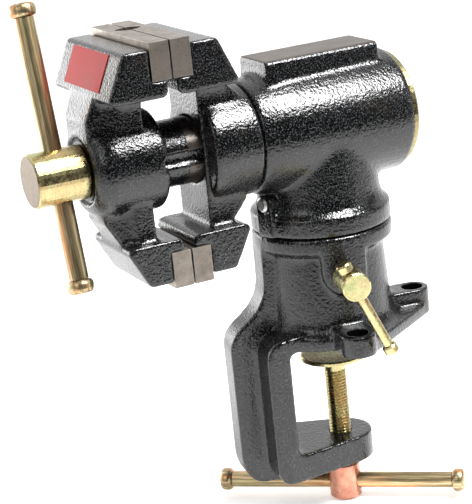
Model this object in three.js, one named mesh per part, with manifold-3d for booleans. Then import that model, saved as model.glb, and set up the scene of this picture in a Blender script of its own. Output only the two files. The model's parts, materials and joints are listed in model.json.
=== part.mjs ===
// A 75 mm bench vise on a C-clamp base, with a swivel and a head that turns about its own barrel.
// Millimetres, +Z up. The origin is on the vertical swivel axis, on the plane where the base sits
// on the bench. At rest the barrel runs along X: the jaws are at -X and the rear cap at +X.

import * as THREE from 'three';
import { mergeVertices } from 'three/addons/utils/BufferGeometryUtils.js';
import Module from 'manifold-3d';

const wasm = await Module();
wasm.setup();

// ---- Driving dimensions ---------------------------------------------------------------------

const GAP = 0.3;                      // clearance between neighbouring pieces
const ROUND = 48;                     // segments round a large casting
const FINE = 24;                      // segments round a bar or a knob
const SMALL = 12;                     // segments round a small fastener

const BASE_TURN = THREE.MathUtils.degToRad(-10.5);  // the base, about the swivel axis

// Base casting. Its C-frame opens towards its own +X; heights are above the bench plane.
const SOCKET_RADIUS = 24.3;
const COLUMN_RADIUS = 32.6;           // under the band; it widens downwards to the foot
const COLUMN_FOOT_RADIUS = 34.6;
const BAND_RADIUS = 38;
const BAND_BOTTOM = 54;
const BASE_TOP = 62.1;
const LUG_RADIUS = 9.8;
const LUG_HOLE_RADIUS = 5.5;
const SIDE_LUG = { reach: 46.7, height: 12 };
const REAR_LUG = { reach: 49, height: 15.5, radius: 9 };
const PLATE_HEIGHT = 7;
const FRAME_OUTER = -45.5;            // outside of the wide flange of the C-frame
const FRAME_INNER = -32.6;            // throat wall
const FRAME_HALF_WIDTH = 29;
const RIB_OUTER = -60;
const RIB_HALF_WIDTH = 9;
const ARM_TOP = -60;                  // upper face of the lower arm
const ARM_BOTTOM = -75;
const BOSS_RADIUS = 17.6;
const BOSS_BOTTOM = -78;

// Lock screw, which presses a shoe into the groove of the swivel spigot.
const LOCK_HEIGHT = 42.3;
const LOCK_TURN = THREE.MathUtils.degToRad(-3.4);   // about the swivel axis, from the base's -Y
const LOCK_SHANK_RADIUS = 4.2;
const LOCK_HOLE_RADIUS = LOCK_SHANK_RADIUS + GAP;
const LOCK_PAD_HALF_WIDTH = 12.3;
const LOCK_HEAD = { radius: 7.65, start: 44.5, end: 64.7, crossing: 58.6 };
const LOCK_BAR = { radius: 2.6, knobRadius: 4, knobLength: 5, top: 13, bottom: -44 };
const LOCK_BAR_TILT = THREE.MathUtils.degToRad(23.7);

// Clamp screw under the base.
const CLAMP_RADIUS = 6;
const CLAMP_PAD = {
  radius: 18.5,
  top: -13.8,
  rim: 2.2,
  hubRadius: 9,
  hubBottom: -19,
  socket: 5.3,
  depth: 3,
};
const CLAMP_HEAD = { radius: 9, top: -79.5, bottom: -100, crossing: -91 };
const CLAMP_BAR = { radius: 4.5, knobRadius: 6.35, knobLength: 6.5, halfLength: 70, slide: -2.2 };
const CLAMP_BAR_TURN = THREE.MathUtils.degToRad(-40);

// Swivel casting: spigot, flange, neck, barrel and anvil.
const AXIS_HEIGHT = 116.8;            // barrel axis above the bench plane
const FLANGE_BOTTOM = BASE_TOP + GAP;
const FLANGE_TOP = 73.5;
const SPIGOT_RADIUS = SOCKET_RADIUS - GAP;
const SPIGOT_BOTTOM = 22;
const GROOVE_RADIUS = 21;
const GROOVE_HALF_HEIGHT = 5;
const BARREL_FRONT = -43;
const BARREL_REAR = 44.5;
const BARREL_FRONT_RADIUS = 30.3;
const BARREL_REAR_RADIUS = 33.5;
const BARREL_BORE = 25.3;
const ANVIL = { front: -31.5, rear: 35.3, halfWidth: 15.7, top: 39.9 };
const STOP_PAD = { halfWidth: 5.8, reach: 39.4, centre: 80.2 };
const STOP_PIN = { radius: 4.1, height: 80.8, proud: 1.1 };
const STOP_TURN = THREE.MathUtils.degToRad(13);     // the pad and its pin, about the swivel axis

// Fixed jaw, rear cap and lead nut. Jaw heights are above or below the barrel axis, and the faces
// are the clamping faces of the pads. The row of jaws below the axis is narrower.
const UPPER = {
  inner: 36.8,
  outer: 61.7,
  padInner: 45.6,
  padOuter: 64.9,
  halfWidth: 37.5,
  fixedFace: -92.8,
  movingFace: -93.8,
  screwSpacing: 44,
};
const LOWER = {
  inner: 39.4,
  outer: 61.6,
  padInner: 45.6,
  padOuter: 64.5,
  halfWidth: 24.3,
  fixedFace: -87.8,
  movingFace: -88.8,
  screwSpacing: 27,
};
const PAD_THICKNESS = 10.4;
const LEDGE = 2.2;                    // how far the castings stay behind the pad faces
const FIXED_HUB = { front: -71, rear: BARREL_FRONT - GAP, radius: 30 };
const FIXED_WEB = { front: -73, rear: -48, halfWidth: 18 };
const TUBE_RADIUS = BARREL_BORE - GAP;
const RAM_RADIUS = 17.6;
const RAM_BORE = RAM_RADIUS + GAP;
const CAP = { front: BARREL_REAR + GAP, rear: 48.8, radius: 31 };
const CAP_SCREW_REACH = 21.45;
const NUT = { radius: 11.5, front: -55, threadEnd: -30, flangeRadius: 15.7, flangeFront: 47.1 };
const KEY = { front: -66, rear: -53, halfWidth: 3.1, inner: 15, outer: 21 };

// Movable jaw and its screw.
const MOVING_HUB = { front: -133.2, rear: -95, radius: 26.5 };
const MOVING_WEB = { rear: -104, halfWidth: 19.5, upperFront: 13.6, lowerFront: 9.6 };
const MOVING_CROWN = 24.6;            // ends of the upper movable block's top and underside,
const MOVING_HEEL = 34;               // measured from the clamping face
const RAM_REAR = 42;
const RAM_HOLLOW_RADIUS = 12;
const RAM_HOLLOW_FRONT = -112;
const KEYWAY = { halfWidth: 3.5, floor: 14.6, front: -97.5 };
const RECESS = { radius: 17.5, floor: -130.6 };
const SCREW_RADIUS = 8;
const SCREW_HEAD = { front: -161, rear: -132.7, radius: 14, crossing: -146 };
const SCREW_END = 38;
const WASHER = { front: -132.4, rear: -130.9, radius: 15.6 };
const COLLAR = { front: -111.7, rear: -104.7, radius: 11.2 };
const JAW_BAR = { radius: 5, knobRadius: 6.9, knobLength: 7, halfLength: 74, slide: 14 };
const JAW_BAR_TILT = THREE.MathUtils.degToRad(-13);

const PIPE_NOTCH = { depth: 7, halfWidth: 4.6, y: 13.5 };   // an upright V in each upper pad
const LABEL = { halfWidth: 23, y: 1.5, topMargin: 1, height: 19.5, thickness: 0.35 };

// ---- Shape helpers --------------------------------------------------------------------------

/** Six times the signed volume of an indexed triangle list. */
function signedVolume(position, triangles) {
  const a = new THREE.Vector3();
  const b = new THREE.Vector3();
  const c = new THREE.Vector3();
  let total = 0;
  for (let i = 0; i < triangles.length; i += 3) {
    a.fromArray(position, triangles[i] * 3);
    b.fromArray(position, triangles[i + 1] * 3);
    c.fromArray(position, triangles[i + 2] * 3);
    total += a.dot(b.cross(c));
  }
  return total;
}

/** A closed three.js geometry as a manifold solid, with its faces pointing out. */
function solid(geometry) {
  const bare = geometry.clone();
  bare.deleteAttribute('normal');
  bare.deleteAttribute('uv');
  const merged = mergeVertices(bare, 1e-4);
  const position = Float32Array.from(merged.attributes.position.array);
  const source = merged.index.array;
  const triangles = [];
  for (let i = 0; i < source.length; i += 3) {
    const [a, b, c] = [source[i], source[i + 1], source[i + 2]];
    if (a !== b && b !== c && c !== a) triangles.push(a, b, c);
  }
  if (signedVolume(position, triangles) < 0) triangles.reverse();
  const mesh = new wasm.Mesh({
    numProp: 3,
    vertProperties: position,
    triVerts: Uint32Array.from(triangles),
  });
  return new wasm.Manifold(mesh);
}

/** A manifold solid as a three.js geometry. */
function geometryOf(body) {
  const mesh = body.getMesh();
  const position = new THREE.BufferAttribute(Float32Array.from(mesh.vertProperties), 3);
  const geometry = new THREE.BufferGeometry();
  geometry.setAttribute('position', position);
  geometry.setIndex(new THREE.BufferAttribute(Uint32Array.from(mesh.triVerts), 1));
  geometry.computeVertexNormals();
  return geometry;
}

const join = (first, ...others) => others.reduce((whole, part) => whole.add(part), first);
const cut = (first, ...tools) => tools.reduce((whole, tool) => whole.subtract(tool), first);

/** A box from its lowest and highest corners. */
function block(x0, x1, y0, y1, z0, z1) {
  const geometry = new THREE.BoxGeometry(x1 - x0, y1 - y0, z1 - z0);
  return solid(geometry.translate((x0 + x1) / 2, (y0 + y1) / 2, (z0 + z1) / 2));
}

/** A turned body about Z. The outline is [radius, z] pairs that start and end on the axis or close. */
function turned(outline, segments = ROUND) {
  const points = outline.map(([radius, z]) => new THREE.Vector2(radius, z));
  return solid(new THREE.LatheGeometry(points, segments).rotateX(Math.PI / 2));
}

/** A cylinder about Z. */
function rod(radius, z0, z1, segments = ROUND) {
  return turned([[0, z0], [radius, z0], [radius, z1], [0, z1]], segments);
}

/** A tube about Z. */
function sleeve(inner, outer, z0, z1, segments = ROUND) {
  return turned([[inner, z0], [outer, z0], [outer, z1], [inner, z1], [inner, z0]], segments);
}

/** Turns a body made about Z so that its axis lies along X. */
const alongX = (body) => body.transform(new THREE.Matrix4().set(
  0, 0, 1, 0,
  0, 1, 0, 0,
  -1, 0, 0, 0,
  0, 0, 0, 1,
).elements);

/** Turns a body made about Z so that its +Z points towards -Y. */
const alongMinusY = (body) => body.transform(new THREE.Matrix4().makeRotationX(Math.PI / 2).elements);

/** A shape in X and Y as a straight prism from z = 0. */
function prism(shape, depth, curveSegments) {
  return new THREE.ExtrudeGeometry(shape, { depth, bevelEnabled: false, curveSegments });
}

/** A shape in X and Z, drawn as X and Y, given its thickness along Y. */
function sideProfile(shape, halfWidth, curveSegments = 8) {
  const geometry = prism(shape, 2 * halfWidth, curveSegments);
  return solid(geometry.rotateX(Math.PI / 2).translate(0, halfWidth, 0));
}

/** A shape in Y and Z, drawn as X and Y, running from x0 to x1. */
function frontProfile(shape, x0, x1, curveSegments = 8) {
  const geometry = prism(shape, x1 - x0, curveSegments);
  const axes = new THREE.Matrix4().makeBasis(
    new THREE.Vector3(0, 1, 0),
    new THREE.Vector3(0, 0, 1),
    new THREE.Vector3(1, 0, 0),
  );
  return solid(geometry.applyMatrix4(axes).translate(x0, 0, 0));
}

/** A shape in X and Y, running from z0 to z1. */
function plan(shape, z0, z1, curveSegments = 10) {
  return solid(prism(shape, z1 - z0, curveSegments).translate(0, 0, z0));
}

/** A shape with straight sides through the points given. */
const polygon = (points) => new THREE.Shape(points.map(([x, y]) => new THREE.Vector2(x, y)));

/** The outline of a belt round two equal circles. */
function beltShape(from, to, radius) {
  const angle = Math.atan2(to[1] - from[1], to[0] - from[0]);
  const shape = new THREE.Shape();
  shape.absarc(to[0], to[1], radius, angle - Math.PI / 2, angle + Math.PI / 2, false);
  shape.absarc(from[0], from[1], radius, angle + Math.PI / 2, angle + 3 * Math.PI / 2, false);
  return shape;
}

/** A round-ended knob about Z, with a blind hole in its lower face for the end of its bar. */
function knob(radius, length, holeRadius, holeDepth) {
  const round = Math.min(radius, length) * 0.2;
  return turned([
    [0, holeDepth], [holeRadius, holeDepth], [holeRadius, 0], [radius - round, 0], [radius, round],
    [radius, length - round], [radius - round, length], [0, length],
  ], FINE);
}

/** A sliding bar along Z, turned down at both ends for its knobs. */
function tommyBar({ radius, knobLength }, bottom, top) {
  const neck = radius * 0.64;
  const shoulder = knobLength + GAP;
  const reach = knobLength * 0.7;
  return turned([
    [0, bottom + shoulder - reach], [neck, bottom + shoulder - reach], [neck, bottom + shoulder],
    [radius, bottom + shoulder], [radius, top - shoulder], [neck, top - shoulder],
    [neck, top - shoulder + reach], [0, top - shoulder + reach],
  ], FINE);
}

/** A countersunk screw about Z: its flat head is at the top, at z = 0. */
function countersunkScrew(shankRadius, headRadius, length) {
  const coneDepth = headRadius - shankRadius;
  const recess = headRadius * 0.45;
  const body = turned([
    [0, -length], [shankRadius - 0.4, -length], [shankRadius, -length + 0.4],
    [shankRadius, -coneDepth - 0.4], [headRadius, -0.4], [headRadius, 0], [0, 0],
  ], SMALL);
  return cut(body, rod(recess, -coneDepth * 0.7, 1, 6));
}

/** The hole that a countersunk screw sits in, GAP clear of it all round. */
function countersunkHole(shankRadius, headRadius, length) {
  const coneDepth = headRadius - shankRadius;
  return turned([
    [0, -length - GAP], [shankRadius + GAP, -length - GAP], [shankRadius + GAP, -coneDepth - 0.4],
    [headRadius + GAP, -0.4], [headRadius + GAP, 1], [0, 1],
  ], SMALL);
}

// ---- Base casting ---------------------------------------------------------------------------

function socketColumn() {
  return turned([
    [SOCKET_RADIUS, 0], [COLUMN_FOOT_RADIUS + 4, 0], [COLUMN_FOOT_RADIUS + 4, PLATE_HEIGHT],
    [COLUMN_FOOT_RADIUS + 1.6, PLATE_HEIGHT + 1.8], [COLUMN_FOOT_RADIUS, PLATE_HEIGHT + 5],
    [COLUMN_RADIUS, BAND_BOTTOM - 3], [BAND_RADIUS, BAND_BOTTOM],
    [BAND_RADIUS, BASE_TOP - 0.8], [BAND_RADIUS - 0.8, BASE_TOP], [SOCKET_RADIUS, BASE_TOP],
    [SOCKET_RADIUS, 0],
  ]);
}

/** The raised U-shaped pad round the lock screw, flush with the band above it. */
function lockPad() {
  const shape = new THREE.Shape();
  shape.moveTo(LOCK_PAD_HALF_WIDTH, BAND_BOTTOM + 2);
  shape.lineTo(-LOCK_PAD_HALF_WIDTH, BAND_BOTTOM + 2);
  shape.lineTo(-LOCK_PAD_HALF_WIDTH, LOCK_HEIGHT);
  shape.absarc(0, LOCK_HEIGHT, LOCK_PAD_HALF_WIDTH, Math.PI, 2 * Math.PI, false);
  const pad = sideProfile(shape, 7).translate(0, -COLUMN_RADIUS, 0);
  return pad.intersect(rod(BAND_RADIUS, 0, BASE_TOP - 1));
}

function mountingLugs() {
  const rear = [REAR_LUG.reach, 0];
  const sides = [[0, -SIDE_LUG.reach], [0, SIDE_LUG.reach]];
  const plates = sides.map((side) => plan(beltShape(side, rear, LUG_RADIUS - 1), 0, PLATE_HEIGHT));
  const sideLugs = sides.map(([x, y]) => {
    const inward = [x, y * 0.72];
    return plan(beltShape([x, y], inward, LUG_RADIUS), 0, SIDE_LUG.height);
  });
  const rearLug = plan(beltShape(rear, [REAR_LUG.reach * 0.7, 0], REAR_LUG.radius), 0, REAR_LUG.height);
  const middle = plan(polygon([sides[0], rear, sides[1], [FRAME_INNER, 0]]), 0, PLATE_HEIGHT);
  return join(middle, ...plates, ...sideLugs, rearLug);
}

/** The wide flange of the C-frame, seen from the side. */
function flangeShape() {
  const shape = new THREE.Shape();
  const corner = 3.5;
  shape.moveTo(-9, 11);
  shape.lineTo(-36, 7.8);
  shape.quadraticCurveTo(FRAME_OUTER, 6.4, FRAME_OUTER, -5);
  shape.lineTo(FRAME_OUTER, ARM_BOTTOM + 10);
  shape.quadraticCurveTo(FRAME_OUTER, ARM_BOTTOM, FRAME_OUTER + 10, ARM_BOTTOM);
  shape.lineTo(0, ARM_BOTTOM);
  shape.lineTo(0, ARM_TOP);
  shape.absarc(FRAME_INNER + corner, ARM_TOP + corner, corner, 1.5 * Math.PI, Math.PI, true);
  shape.absarc(FRAME_INNER + corner, -corner, corner, Math.PI, 0.5 * Math.PI, true);
  shape.lineTo(-9, 0);
  shape.closePath();
  return shape;
}

/** The plan of the lower arm: full width at the frame, closing tangentially round the screw boss. */
function lowerArmShape() {
  const corner = [FRAME_INNER - 6, FRAME_HALF_WIDTH];
  const distance = Math.hypot(...corner);
  const tangent = Math.atan2(corner[1], corner[0]) - Math.acos(BOSS_RADIUS / distance);
  const shape = new THREE.Shape();
  shape.moveTo(RIB_OUTER, -corner[1]);
  shape.lineTo(corner[0], -corner[1]);
  shape.absarc(0, 0, BOSS_RADIUS, -tangent, tangent, false);
  shape.lineTo(corner[0], corner[1]);
  shape.lineTo(RIB_OUTER, corner[1]);
  shape.closePath();
  return shape;
}

/** The narrow rib that runs down the back of the C-frame and under its lower arm. */
function ribShape() {
  const bottom = -79;
  const shape = new THREE.Shape();
  shape.moveTo(-30, BASE_TOP - 4);
  shape.lineTo(-BAND_RADIUS + 0.6, BASE_TOP - 4);
  shape.lineTo(-BAND_RADIUS, 34);
  shape.bezierCurveTo(-BAND_RADIUS - 1, 25, -43, 20, -49.5, 14.8);
  shape.bezierCurveTo(-55, 11, RIB_OUTER, 7, RIB_OUTER, -1);
  shape.lineTo(RIB_OUTER, -62);
  shape.bezierCurveTo(RIB_OUTER, -72, -55, bottom, -46, bottom);
  shape.lineTo(-17, bottom + 1.4);
  shape.lineTo(-14, ARM_BOTTOM + 4);
  shape.lineTo(FRAME_OUTER + 4, ARM_BOTTOM + 4);
  shape.lineTo(FRAME_OUTER + 4, 2);
  shape.lineTo(-30, 5);
  shape.closePath();
  return shape;
}

function baseCasting() {
  const flange = sideProfile(flangeShape(), FRAME_HALF_WIDTH);
  const upperHalf = block(-70, 60, -60, 60, ARM_TOP + 5, 80);
  const lowerPlan = plan(lowerArmShape(), ARM_BOTTOM - 1, ARM_TOP + 5.5, 16);
  const lowerArm = join(flange, rod(BOSS_RADIUS, ARM_BOTTOM, ARM_TOP)).intersect(lowerPlan);
  const boss = rod(BOSS_RADIUS - 4.5, BOSS_BOTTOM, ARM_TOP - 2);
  const rib = sideProfile(ribShape(), RIB_HALF_WIDTH);
  const frame = join(flange.intersect(upperHalf), lowerArm, boss, rib);
  const body = join(socketColumn(), lockPad(), mountingLugs(), frame);
  const lugCentres = [[0, -SIDE_LUG.reach], [0, SIDE_LUG.reach], [REAR_LUG.reach, 0]];
  const lugHoles = lugCentres.map(([x, y]) => rod(LUG_HOLE_RADIUS, -1, 20, 20).translate(x, y, 0));
  const lockHole = onLockAxis(rod(LOCK_HOLE_RADIUS, 15, 45, 20));
  const socket = rod(SOCKET_RADIUS, -1, BASE_TOP + 1);
  const thread = rod(CLAMP_RADIUS + GAP, BOSS_BOTTOM - 2, ARM_TOP + 1, 24);
  return cut(body, ...lugHoles, lockHole, socket, thread);
}

// ---- Swivel casting -------------------------------------------------------------------------

function swivelStem() {
  const grooveTop = LOCK_HEIGHT + GROOVE_HALF_HEIGHT;
  const grooveBottom = LOCK_HEIGHT - GROOVE_HALF_HEIGHT;
  const bevel = SPIGOT_RADIUS - GROOVE_RADIUS;
  return turned([
    [0, SPIGOT_BOTTOM], [SPIGOT_RADIUS - 1.5, SPIGOT_BOTTOM], [SPIGOT_RADIUS, SPIGOT_BOTTOM + 1.5],
    [SPIGOT_RADIUS, grooveBottom - bevel], [GROOVE_RADIUS, grooveBottom], [GROOVE_RADIUS, grooveTop],
    [SPIGOT_RADIUS, grooveTop + bevel], [SPIGOT_RADIUS, FLANGE_BOTTOM],
    [BAND_RADIUS - 0.8, FLANGE_BOTTOM], [BAND_RADIUS, FLANGE_BOTTOM + 0.8],
    [BAND_RADIUS, FLANGE_TOP - 1.6], [BAND_RADIUS - 0.5, FLANGE_TOP - 0.5], [BAND_RADIUS - 1.6, FLANGE_TOP],
    [36, FLANGE_TOP + 0.3], [34.4, FLANGE_TOP + 2], [33.4, FLANGE_TOP + 6], [32.6, 92], [31.5, AXIS_HEIGHT],
    [0, AXIS_HEIGHT],
  ]);
}

function barrelBody() {
  const middle = BARREL_FRONT_RADIUS + 2.3;
  return alongX(turned([
    [0, BARREL_FRONT], [BARREL_FRONT_RADIUS - 0.8, BARREL_FRONT],
    [BARREL_FRONT_RADIUS, BARREL_FRONT + 0.8],
    [BARREL_FRONT_RADIUS + 1.3, -33], [middle, -22], [BARREL_REAR_RADIUS, 20],
    [BARREL_REAR_RADIUS, BARREL_REAR - 1], [BARREL_REAR_RADIUS - 1, BARREL_REAR], [0, BARREL_REAR],
  ])).translate(0, 0, AXIS_HEIGHT);
}

function anvilBlock() {
  const edge = 1.5;
  const { halfWidth, top, front, rear } = ANVIL;
  const shape = polygon([
    [-halfWidth - 1, 24], [halfWidth + 1, 24], [halfWidth, top - edge], [halfWidth - edge, top],
    [-halfWidth + edge, top], [-halfWidth, top - edge],
  ]);
  return frontProfile(shape, front, rear).translate(0, 0, AXIS_HEIGHT);
}

/** Turns a body made along -X to the stop pin's place on the flange. */
const onStopRadius = (body) => body.transform(new THREE.Matrix4().makeRotationZ(STOP_TURN).elements);

/** The round-topped pad on the front of the flange that holds the stop pin. */
function stopPad() {
  const { halfWidth, reach, centre } = STOP_PAD;
  const shape = new THREE.Shape();
  shape.moveTo(-halfWidth, FLANGE_BOTTOM);
  shape.lineTo(halfWidth, FLANGE_BOTTOM);
  shape.absarc(0, centre, halfWidth, 0, Math.PI, false);
  shape.closePath();
  return onStopRadius(frontProfile(shape, -reach, -25));
}

function swivelCasting() {
  const body = join(swivelStem(), barrelBody(), anvilBlock(), stopPad());
  const bore = alongX(rod(BARREL_BORE, BARREL_FRONT - 1, BARREL_REAR + 1)).translate(0, 0, AXIS_HEIGHT);
  const core = rod(15, SPIGOT_BOTTOM - 1, 80, FINE);
  const pinHole = alongX(rod(STOP_PIN.radius + GAP, -STOP_PAD.reach - 1, -28, 24));
  return cut(body, bore, core, onStopRadius(pinHole.translate(0, 0, STOP_PIN.height)));
}

function stopPin() {
  const { radius, proud, height } = STOP_PIN;
  const front = -STOP_PAD.reach - proud;
  const pin = alongX(turned([
    [0, front], [radius * 0.7, front], [radius, front + 0.9], [radius, -28.4], [0, -28.4],
  ], 24));
  return onStopRadius(pin.translate(0, 0, height));
}

// ---- Jaws -----------------------------------------------------------------------------------

/**
 * One jaw block, with its height measured from the barrel axis. `face` is the clamping face of its
 * pad, `side` is +1 where the casting lies towards +X, and `crown` and `heel` are the ends of its
 * top and of its underside, measured from the face.
 */
function jawBlock(row, face, side, crown, heel) {
  const at = (distance) => face + side * distance;
  const toe = 3;
  const shape = polygon([
    [at(LEDGE + toe), row.inner],
    [at(LEDGE + 0.8), row.inner + 0.9],
    [at(LEDGE), row.inner + toe],
    [at(LEDGE), row.padInner - GAP],
    [at(PAD_THICKNESS + GAP), row.padInner - GAP],
    [at(PAD_THICKNESS + GAP), row.outer],
    [at(crown - 1.5), row.outer],
    [at(crown), row.outer - 1],
    [at(heel), row.inner + 3],
    [at(heel - 0.6), row.inner + 1],
    [at(heel - 3), row.inner],
  ]);
  return sideProfile(shape, row.halfWidth);
}

/** The same block turned over, for the row of jaws below the axis. */
const flipped = (body) => body.transform(new THREE.Matrix4().makeRotationX(Math.PI).elements);

/** The waist between a jaw's hub and its block, which spreads under the block. */
function waistShape(halfWidth, row) {
  const blockInner = row.inner;
  const spread = Math.min(9, row.halfWidth - halfWidth - 1);
  const shape = new THREE.Shape();
  shape.moveTo(-halfWidth, -3);
  shape.lineTo(-halfWidth, blockInner - 7);
  shape.quadraticCurveTo(-halfWidth, blockInner + 0.4, -halfWidth - spread, blockInner + 0.4);
  shape.lineTo(-halfWidth - spread, blockInner + 3);
  shape.lineTo(halfWidth + spread, blockInner + 3);
  shape.lineTo(halfWidth + spread, blockInner + 0.4);
  shape.quadraticCurveTo(halfWidth, blockInner + 0.4, halfWidth, blockInner - 7);
  shape.lineTo(halfWidth, -3);
  shape.closePath();
  return shape;
}

/** A body made about the X axis, lifted to the barrel axis. */
const onAxis = (body) => body.translate(0, 0, AXIS_HEIGHT);

/** The two screws of a pad: the y of each, and its height from the axis. */
function padScrewPlaces(row) {
  const height = (row.padInner + row.padOuter) / 2;
  return [-row.screwSpacing / 2, row.screwSpacing / 2].map((y) => [y, height]);
}

const PAD_SCREW = { shank: 2.5, head: 4.6, length: 18 };

/** Places a body made about Z, its +Z end towards the clamping face, at a pad screw's place. */
function placePadScrew(body, face, side, y, height) {
  const turn = new THREE.Matrix4().makeRotationY(-side * Math.PI / 2);
  return body.transform(turn.elements).translate(face + side * 0.4, y, height);
}

function padScrewHoles(row, sign, face, side) {
  return padScrewPlaces(row).map(([y, height]) => {
    const hole = countersunkHole(PAD_SCREW.shank, PAD_SCREW.head, PAD_SCREW.length);
    return placePadScrew(hole, face, side, y, sign * height);
  });
}

function fixedJawCasting() {
  const upper = jawBlock(UPPER, UPPER.fixedFace, 1, 26, 35.2);
  const lower = flipped(jawBlock(LOWER, LOWER.fixedFace, 1, 24.9, 34.5));
  const { front, rear, halfWidth } = FIXED_WEB;
  const upperWaist = frontProfile(waistShape(halfWidth, UPPER), front - 2, rear + 2);
  const lowerWaist = flipped(frontProfile(waistShape(halfWidth, LOWER), front - 2, rear + 2));
  const slope = polygon([[front, -5], [front, 45], [-60, 45], [-60, 38], [-51, 28], [rear, 4], [rear, -5]]);
  const waists = join(upperWaist, lowerWaist);
  const slopes = join(sideProfile(slope, 40), flipped(sideProfile(slope, 41)));
  const hub = alongX(turned([
    [0, FIXED_HUB.front], [FIXED_HUB.radius - 1.8, FIXED_HUB.front],
    [FIXED_HUB.radius - 0.5, FIXED_HUB.front + 0.5], [FIXED_HUB.radius, FIXED_HUB.front + 1.8],
    [FIXED_HUB.radius, FIXED_HUB.rear - 0.8], [FIXED_HUB.radius - 0.8, FIXED_HUB.rear], [0, FIXED_HUB.rear],
  ]));
  const tube = alongX(rod(TUBE_RADIUS, FIXED_HUB.rear - 1, BARREL_REAR));
  const bore = alongX(rod(RAM_BORE, FIXED_WEB.front - 5, BARREL_REAR + 1));
  const keyPocket = block(
    KEY.front - GAP, KEY.rear + GAP, -KEY.outer - GAP, -RAM_BORE + 3,
    -KEY.halfWidth - GAP, KEY.halfWidth + GAP,
  );
  const capHoles = capScrewAngles().map((angle) => (
    alongX(rod(1.8, BARREL_REAR - 9, BARREL_REAR + 1, SMALL))
      .translate(0, CAP_SCREW_REACH * Math.cos(angle), CAP_SCREW_REACH * Math.sin(angle))
  ));
  const body = join(upper, lower, waists.intersect(slopes), hub, tube);
  const padHoles = [
    ...padScrewHoles(UPPER, 1, UPPER.fixedFace, 1),
    ...padScrewHoles(LOWER, -1, LOWER.fixedFace, 1),
  ];
  return onAxis(cut(body, bore, keyPocket, ...capHoles, ...padHoles));
}

/** A waist of the movable jaw: full width at the rear, and closing to `frontHalfWidth`. */
function movableWaist(row, frontHalfWidth) {
  const front = MOVING_HUB.front - 2;
  const rear = MOVING_WEB.rear + 2;
  const waist = frontProfile(waistShape(MOVING_WEB.halfWidth, row), front, rear);
  const taper = polygon([
    [rear + 1, 30], [-109, 26], [-118, frontHalfWidth + 5.5], [front - 1, frontHalfWidth],
    [front - 1, -frontHalfWidth], [-118, -frontHalfWidth - 5.5], [-109, -26], [rear + 1, -30],
  ]);
  return waist.intersect(plan(taper, -5, 50));
}

function movableJawCasting() {
  const upper = jawBlock(UPPER, UPPER.movingFace, -1, MOVING_CROWN, MOVING_HEEL);
  const lower = flipped(jawBlock(LOWER, LOWER.movingFace, -1, 24, 33.5));
  const { front, rear, radius } = MOVING_HUB;
  const { upperFront, lowerFront } = MOVING_WEB;
  const waists = join(movableWaist(UPPER, upperFront), flipped(movableWaist(LOWER, lowerFront)));
  const side = polygon([
    [MOVING_WEB.rear, -44], [MOVING_WEB.rear, 44], [-125.5, 44], [-127.6, 39], [front + 0.4, 27],
    [front + 0.4, 0], [-128.5, -12], [-128.5, -27], [-122, -39], [-120.5, -44],
  ]);
  const hub = alongX(turned([
    [0, front], [19.4, front], [21.8, front + 1], [24.3, front + 3.4], [26, front + 6.8],
    [radius, front + 10.5], [radius, rear - 1.6], [radius - 0.5, rear - 0.5], [radius - 1.6, rear], [0, rear],
  ]));
  const ram = alongX(turned([
    [0, rear - 5], [RAM_RADIUS, rear - 5], [RAM_RADIUS, RAM_REAR - 1], [RAM_RADIUS - 1, RAM_REAR],
    [0, RAM_REAR],
  ]));
  const keyway = block(
    KEYWAY.front, RAM_REAR + 1, -40, -KEYWAY.floor, -KEYWAY.halfWidth, KEYWAY.halfWidth,
  );
  const hollow = alongX(rod(RAM_HOLLOW_RADIUS, RAM_HOLLOW_FRONT, RAM_REAR + 1, FINE));
  const screwHole = alongX(rod(SCREW_RADIUS + GAP, front - 1, RAM_HOLLOW_FRONT + 1, FINE));
  const recess = alongX(rod(RECESS.radius, front - 1, RECESS.floor));
  const body = join(upper, lower, waists.intersect(sideProfile(side, 40)), hub, ram);
  const padHoles = [
    ...padScrewHoles(UPPER, 1, UPPER.movingFace, -1),
    ...padScrewHoles(LOWER, -1, LOWER.movingFace, -1),
  ];
  return onAxis(cut(body, keyway, hollow, screwHole, recess, ...padHoles));
}

/** The notch in an upper pad, seen from above: a V with curved sides, open at the clamping face. */
function pipeNotchShape(face, side) {
  const { depth, halfWidth, y } = PIPE_NOTCH;
  const apex = face + side * depth;
  const mouth = face - side;
  const shape = new THREE.Shape();
  shape.moveTo(mouth, y - halfWidth);
  shape.lineTo(face, y - halfWidth);
  shape.quadraticCurveTo(face + side * depth * 0.55, y - halfWidth, apex, y);
  shape.quadraticCurveTo(face + side * depth * 0.55, y + halfWidth, face, y + halfWidth);
  shape.lineTo(mouth, y + halfWidth);
  shape.closePath();
  return shape;
}

/** A jaw pad. The upper pads share an upright notch that grips a pipe or rod. */
function jawPad(row, sign, face, side) {
  const back = face + side * PAD_THICKNESS;
  const depths = [face, back].sort((a, b) => a - b);
  const heights = [sign * row.padInner, sign * row.padOuter].sort((a, b) => a - b);
  const pad = block(...depths, -row.halfWidth, row.halfWidth, ...heights);
  const tools = padScrewHoles(row, sign, face, side);
  if (sign > 0) {
    tools.push(plan(pipeNotchShape(face, side), row.padInner - 1, row.padOuter + 1, 6));
  }
  return onAxis(cut(pad, ...tools));
}

function padScrew(row, sign, face, side, y, height) {
  const body = countersunkScrew(PAD_SCREW.shank, PAD_SCREW.head, PAD_SCREW.length);
  return onAxis(placePadScrew(body, face, side, y, sign * height));
}

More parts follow.
